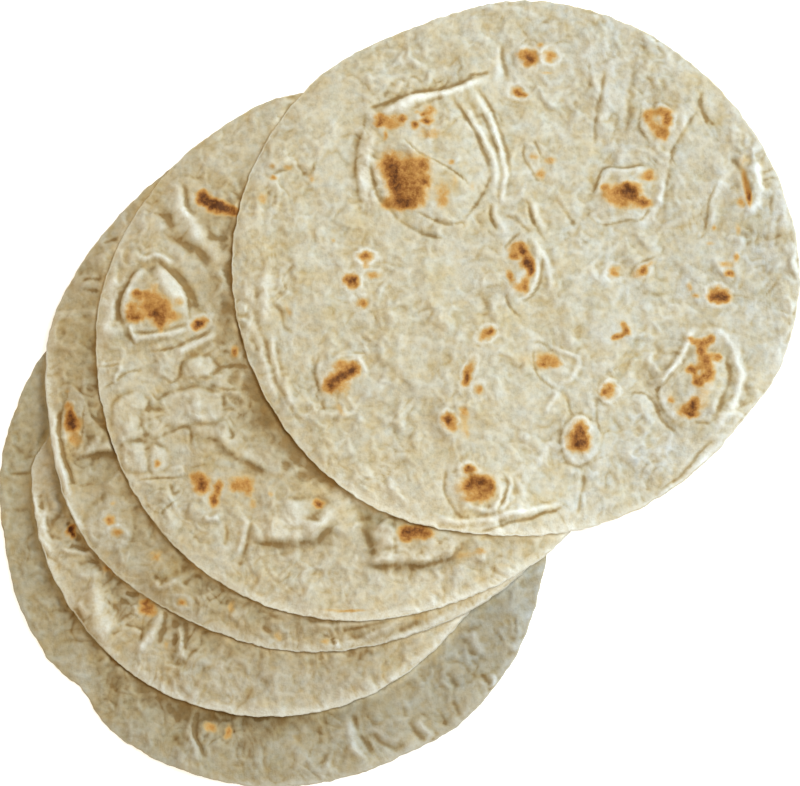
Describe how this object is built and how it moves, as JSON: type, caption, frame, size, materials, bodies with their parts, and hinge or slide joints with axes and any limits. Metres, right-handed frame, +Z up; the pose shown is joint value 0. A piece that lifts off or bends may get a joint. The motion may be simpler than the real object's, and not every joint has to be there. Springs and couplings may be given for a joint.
{
  "type": "stack of flatbreads",
  "caption": "Loose stack of thin, soft, round griddle flatbreads, fanned out so that a crescent of each shows, with wavy rims, puffed blisters and toasted spots.",
  "frame": {"origin": "on the floor, under the middle of the bottom bread, on its flat underside", "axes": "+Z up, through the thickness of the stack; the breads are fanned out towards +X (right) and +Y (back)"},
  "size_m": [0.3684, 0.3673, 0.0195],
  "materials": {
    "bread_1_crumb": "matte",
    "bread_2_crumb": "matte",
    "bread_3_crumb": "matte",
    "bread_4_crumb": "matte",
    "bread_5_crumb": "matte"
  },
  "bodies": {
    "root": {"bread_1_bottom": "bread_1_crumb", "bread_2": "bread_2_crumb", "bread_3": "bread_3_crumb", "bread_4": "bread_4_crumb", "bread_5_top": "bread_5_crumb"}
  },
  "joints": []
}
